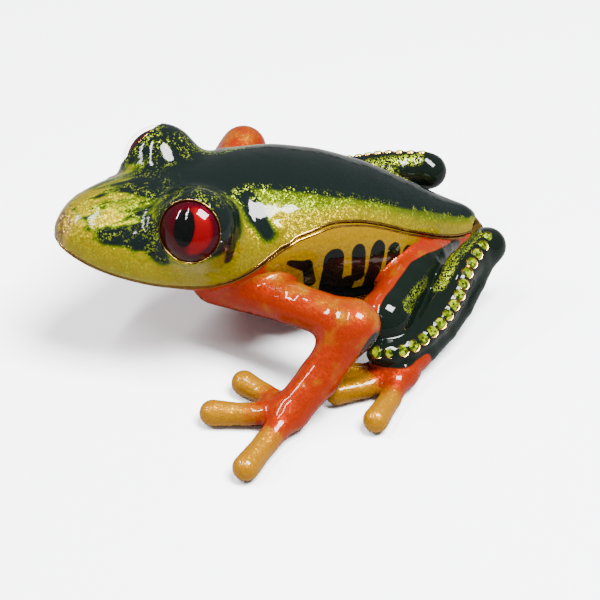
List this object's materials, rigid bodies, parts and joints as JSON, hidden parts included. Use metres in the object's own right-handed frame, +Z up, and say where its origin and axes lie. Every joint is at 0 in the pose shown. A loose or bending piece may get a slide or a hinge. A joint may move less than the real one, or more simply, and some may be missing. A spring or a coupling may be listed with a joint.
{
  "type": "hinged trinket box",
  "caption": "Small cast and enamelled trinket box shaped as a sitting tree frog, back and head opening as a hinged lid, with glass eyes and stone-set hind legs.",
  "frame": {"origin": "on the ground, under the middle of the object's plan outline", "axes": "+Z up, -Y towards the snout, +X to the frog's left"},
  "size_m": [0.0806, 0.0755, 0.0337],
  "materials": {
    "lid_enamel": "translucent glitter enamel, yellow at the rim to near-black green on the back",
    "base_enamel": "glossy enamel, orange-red under the body and yellow with dark bars on the flank",
    "front_leg_enamel": "glossy orange-red enamel fading to amber toes",
    "hind_leg_enamel": "glossy near-black green enamel, orange foot",
    "gold_plate": "polished gold plate",
    "green_stone": "foil-backed faceted stone",
    "eye_glass": "clear polished dome",
    "iris_enamel": "transparent red over foil with a black oval pupil",
    "magnet": "nickel plated"
  },
  "bodies": {
    "base": {"base_casting": "base_enamel", "locating_lip": "gold_plate", "front_leg_left": "front_leg_enamel", "front_leg_right": "front_leg_enamel", "hind_leg_left": "hind_leg_enamel", "hind_leg_right": "hind_leg_enamel", "stone_channel_left": "gold_plate", "stone_channel_right": "gold_plate", "stones_left": "green_stone", "stones_right": "green_stone", "hinge_base_leaf": "gold_plate", "hinge_pin": "gold_plate", "base_magnet": "magnet"},
    "lid": {"lid_casting": "lid_enamel", "hinge_lid_leaf": "gold_plate", "lid_magnet": "magnet", "eye_glass_left": "eye_glass", "eye_glass_right": "eye_glass", "eye_iris_left": "iris_enamel", "eye_iris_right": "iris_enamel", "eye_bezel_left": "gold_plate", "eye_bezel_right": "gold_plate"}
  },
  "joints": [
    {"name": "lid_hinge", "type": "hinge", "parent": "base", "child": "lid", "pos_m": [0, 0.0366, 0.0073], "axis": [-1, 0, 0], "range_deg": [0, 75]}
  ]
}
